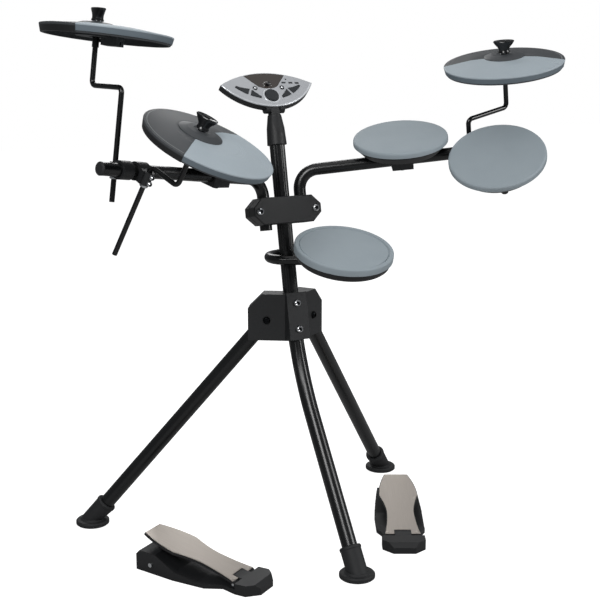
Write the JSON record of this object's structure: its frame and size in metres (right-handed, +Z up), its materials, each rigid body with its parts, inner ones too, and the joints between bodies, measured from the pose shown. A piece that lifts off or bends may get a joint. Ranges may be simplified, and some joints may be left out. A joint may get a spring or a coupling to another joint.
{
  "type": "electronic drum kit",
  "caption": "Compact electronic drum kit: leaning mast on folding legs, arms with rubber drum pads and rod-mounted cymbal pads, a sound module and loose foot pedals.",
  "frame": {"origin": "middle of the front foot's bottom face, on the floor", "axes": "+X to the drummer's right, +Y away from the drummer, +Z up"},
  "size_m": [1.0617, 0.5961, 1.0987],
  "materials": {
    "painted_tube": "satin",
    "painted_rod": "gloss",
    "stand_plastic": "matte",
    "foot_rubber": "matte",
    "chrome": "polished",
    "pad_rubber": "matte",
    "pad_shell": "matte",
    "cymbal_plastic": "satin",
    "cymbal_rubber": "matte",
    "nut_plastic": "gloss",
    "case_plastic": "satin",
    "panel_silver": "satin",
    "window_plastic": "gloss",
    "button_rubber": "matte",
    "dial_plastic": "satin",
    "tread_steel": "satin",
    "pedal_plastic": "matte"
  },
  "bodies": {
    "stand": {"mast_tube": "painted_tube", "front_foot": "foot_rubber", "hub_bracket": "stand_plastic", "stand_bolts": "chrome", "rack_clamp_front": "stand_plastic", "rack_clamp_back": "stand_plastic", "module_neck": "stand_plastic", "hat_pedal_base": "pedal_plastic", "kick_pedal_base": "pedal_plastic", "pedal_hardware": "chrome", "pedal_return_domes": "foot_rubber"},
    "left_leg": {"left_leg": "painted_tube", "left_foot": "foot_rubber"},
    "right_leg": {"right_leg": "painted_tube", "right_foot": "foot_rubber"},
    "left_arm": {"left_arm": "painted_tube"},
    "right_arm": {"right_arm": "painted_tube"},
    "snare_arm": {"snare_arm": "painted_tube"},
    "module": {"module_case": "case_plastic", "module_panel": "panel_silver", "module_window": "window_plastic"},
    "dial": {"module_dial": "dial_plastic"},
    "knob": {"module_knob": "dial_plastic"},
    "snare_pad": {"snare_rubber": "pad_rubber", "snare_base": "pad_shell", "snare_clamp": "pad_shell"},
    "first_tom_pad": {"first_tom_rubber": "pad_rubber", "first_tom_base": "pad_shell", "first_tom_clamp": "pad_shell"},
    "second_tom_pad": {"second_tom_rubber": "pad_rubber", "second_tom_base": "pad_shell", "second_tom_clamp": "pad_shell"},
    "floor_tom_pad": {"floor_tom_rubber": "pad_rubber", "floor_tom_base": "pad_shell", "floor_tom_clamp": "pad_shell"},
    "crash_rod_clamp": {"crash_rod_clamp": "stand_plastic"},
    "crash_rod": {"crash_rod": "painted_rod"},
    "crash_cymbal": {"crash_cymbal": "cymbal_plastic", "crash_rubber": "cymbal_rubber"},
    "crash_wing_nut": {"crash_wing_nut": "nut_plastic"},
    "hat_rod_clamp": {"hat_rod_clamp": "stand_plastic"},
    "hat_rod": {"hat_rod": "painted_rod"},
    "hat_cymbal": {"hat_cymbal": "cymbal_plastic", "hat_rubber": "cymbal_rubber"},
    "hat_wing_nut": {"hat_wing_nut": "nut_plastic"},
    "ride_rod_clamp": {"ride_rod_clamp": "stand_plastic"},
    "ride_rod": {"ride_rod": "painted_rod"},
    "ride_cymbal": {"ride_cymbal": "cymbal_plastic", "ride_rubber": "cymbal_rubber"},
    "ride_wing_nut": {"ride_wing_nut": "nut_plastic"},
    "left_outer_button": {"left_outer_button": "button_rubber"},
    "left_inner_button": {"left_inner_button": "button_rubber"},
    "right_outer_button": {"right_outer_button": "button_rubber"},
    "right_inner_button": {"right_inner_button": "button_rubber"},
    "left_round_button": {"left_round_button": "button_rubber"},
    "right_round_button": {"right_round_button": "button_rubber"},
    "hat_footboard": {"hat_footboard": "pedal_plastic", "hat_tread": "tread_steel"},
    "kick_footboard": {"kick_footboard": "pedal_plastic", "kick_tread": "tread_steel"}
  },
  "joints": [
    {"name": "left_leg_fold", "type": "hinge", "parent": "stand", "child": "left_leg", "pos_m": [-0.04443, 0.2989, 0.468], "axis": [-0.5452, -0.8383, 0], "range_deg": [0, 38]},
    {"name": "right_leg_fold", "type": "hinge", "parent": "stand", "child": "right_leg", "pos_m": [0.04443, 0.2989, 0.468], "axis": [-0.5452, 0.8383, 0], "range_deg": [0, 38]},
    {"name": "left_arm_swing", "type": "hinge", "parent": "stand", "child": "left_arm", "pos_m": [-0.043, 0.31273, 0.68981], "axis": [0, 0.1942, 0.981], "range_deg": [-10, 10]},
    {"name": "right_arm_swing", "type": "hinge", "parent": "stand", "child": "right_arm", "pos_m": [0.043, 0.31273, 0.68981], "axis": [0, 0.1942, 0.981], "range_deg": [-10, 10]},
    {"name": "snare_arm_swing", "type": "hinge", "parent": "stand", "child": "snare_arm", "pos_m": [0, 0.29395, 0.59495], "axis": [0, 0.1942, 0.981], "range_deg": [-10, 10]},
    {"name": "snare_tilt", "type": "hinge", "parent": "snare_arm", "child": "snare_pad", "pos_m": [0.0754, 0.20654, 0.59495], "axis": [0.866, -0.5, 0], "range_deg": [-8, 8]},
    {"name": "first_tom_tilt", "type": "hinge", "parent": "left_arm", "child": "first_tom_pad", "pos_m": [-0.16473, 0.27777, 0.77284], "axis": [-0.9222, -0.3628, 0.1341], "range_deg": [-8, 8]},
    {"name": "second_tom_tilt", "type": "hinge", "parent": "right_arm", "child": "second_tom_pad", "pos_m": [0.23543, 0.22869, 0.79213], "axis": [0.8827, -0.456, 0.1134], "range_deg": [-8, 8]},
    {"name": "floor_tom_tilt", "type": "hinge", "parent": "right_arm", "child": "floor_tom_pad", "pos_m": [0.40138, 0.14296, 0.81345], "axis": [0.8827, -0.456, 0.1134], "range_deg": [-8, 8]},
    {"name": "crash_rod_tilt", "type": "hinge", "parent": "left_arm", "child": "crash_rod_clamp", "pos_m": [-0.39158, 0.18851, 0.80582], "axis": [-0.9222, -0.3628, 0.1341], "range_deg": [-8, 8]},
    {"name": "crash_rod_swivel", "type": "hinge", "parent": "crash_rod_clamp", "child": "crash_rod", "pos_m": [-0.40028, 0.21087, 0.80647], "axis": [0.1347, 0.0236, 0.9906], "range_deg": [-15, 15]},
    {"name": "crash_rock", "type": "hinge", "parent": "crash_rod", "child": "crash_cymbal", "pos_m": [-0.39356, 0.30255, 1.05978], "axis": [0.7495, 0.6515, -0.1175], "range_deg": [-6, 6]},
    {"name": "crash_nut_turn", "type": "hinge", "parent": "crash_rod", "child": "crash_wing_nut", "pos_m": [-0.39356, 0.30255, 1.05978], "axis": [0.1347, 0.0236, 0.9906], "continuous": true},
    {"name": "hat_rod_tilt", "type": "hinge", "parent": "left_arm", "child": "hat_rod_clamp", "pos_m": [-0.35561, 0.20267, 0.80059], "axis": [-0.9222, -0.3628, 0.1341], "range_deg": [-8, 8]},
    {"name": "hat_rod_swivel", "type": "hinge", "parent": "hat_rod_clamp", "child": "hat_rod", "pos_m": [-0.34903, 0.18209, 0.79014], "axis": [0.273, -0.3648, 0.8902], "range_deg": [-15, 15]},
    {"name": "hat_rock", "type": "hinge", "parent": "hat_rod", "child": "hat_cymbal", "pos_m": [-0.28731, 0.07808, 0.87407], "axis": [0.7302, 0.681, 0.0551], "range_deg": [-6, 6]},
    {"name": "hat_nut_turn", "type": "hinge", "parent": "hat_rod", "child": "hat_wing_nut", "pos_m": [-0.28731, 0.07808, 0.87407], "axis": [0.273, -0.3648, 0.8902], "continuous": true},
    {"name": "ride_rod_tilt", "type": "hinge", "parent": "right_arm", "child": "ride_rod_clamp", "pos_m": [0.36431, 0.16211, 0.80869], "axis": [0.8827, -0.456, 0.1134], "range_deg": [-8, 8]},
    {"name": "ride_rod_swivel", "type": "hinge", "parent": "ride_rod_clamp", "child": "ride_rod", "pos_m": [0.3746, 0.18324, 0.81355], "axis": [-0.1922, -0.1301, 0.9727], "range_deg": [-15, 15]},
    {"name": "ride_rock", "type": "hinge", "parent": "ride_rod", "child": "ride_cymbal", "pos_m": [0.44841, 0.17244, 0.99838], "axis": [0.7644, -0.6414, 0.0652], "range_deg": [-6, 6]},
    {"name": "ride_nut_turn", "type": "hinge", "parent": "ride_rod", "child": "ride_wing_nut", "pos_m": [0.44841, 0.17244, 0.99838], "axis": [-0.1922, -0.1301, 0.9727], "continuous": true},
    {"name": "module_tilt", "type": "hinge", "parent": "stand", "child": "module", "pos_m": [0, 0.35372, 0.89679], "axis": [1, 0, 0], "range_deg": [-12, 12]},
    {"name": "dial_turn", "type": "hinge", "parent": "module", "child": "dial", "pos_m": [0, 0.36272, 0.92258], "axis": [0, -0.7314, 0.682], "continuous": true},
    {"name": "knob_turn", "type": "hinge", "parent": "module", "child": "knob", "pos_m": [0, 0.3825, 0.94379], "axis": [0, -0.7314, 0.682], "range_deg": [-140, 140]},
    {"name": "left_outer_button_press", "type": "slide", "parent": "module", "child": "left_outer_button", "axis": [0, 0.7314, -0.682], "range_m": [0, 0.001], "stiffness_N_per_m": 600, "springref_m": -0.0005},
    {"name": "left_inner_button_press", "type": "slide", "parent": "module", "child": "left_inner_button", "axis": [0, 0.7314, -0.682], "range_m": [0, 0.001], "stiffness_N_per_m": 600, "springref_m": -0.0005},
    {"name": "right_outer_button_press", "type": "slide", "parent": "module", "child": "right_outer_button", "axis": [0, 0.7314, -0.682], "range_m": [0, 0.001], "stiffness_N_per_m": 600, "springref_m": -0.0005},
    {"name": "right_inner_button_press", "type": "slide", "parent": "module", "child": "right_inner_button", "axis": [0, 0.7314, -0.682], "range_m": [0, 0.001], "stiffness_N_per_m": 600, "springref_m": -0.0005},
    {"name": "left_round_button_press", "type": "slide", "parent": "module", "child": "left_round_button", "axis": [0, 0.7314, -0.682], "range_m": [0, 0.001], "stiffness_N_per_m": 600, "springref_m": -0.0005},
    {"name": "right_round_button_press", "type": "slide", "parent": "module", "child": "right_round_button", "axis": [0, 0.7314, -0.682], "range_m": [0, 0.001], "stiffness_N_per_m": 600, "springref_m": -0.0005},
    {"name": "hat_pedal_press", "type": "hinge", "parent": "stand", "child": "hat_footboard", "pos_m": [-0.21291, 0.07469, 0.0155], "axis": [-0.8387, -0.5446, 0], "range_deg": [0, 4], "stiffness_Nm_per_rad": 40, "springref_deg": -2.86, "deforming": ["pedal_return_domes"]},
    {"name": "kick_pedal_press", "type": "hinge", "parent": "stand", "child": "kick_footboard", "pos_m": [0.16935, 0.09668, 0.0155], "axis": [-0.8829, 0.4695, 0], "range_deg": [0, 4], "stiffness_Nm_per_rad": 40, "springref_deg": -2.86, "deforming": ["pedal_return_domes"]}
  ]
}
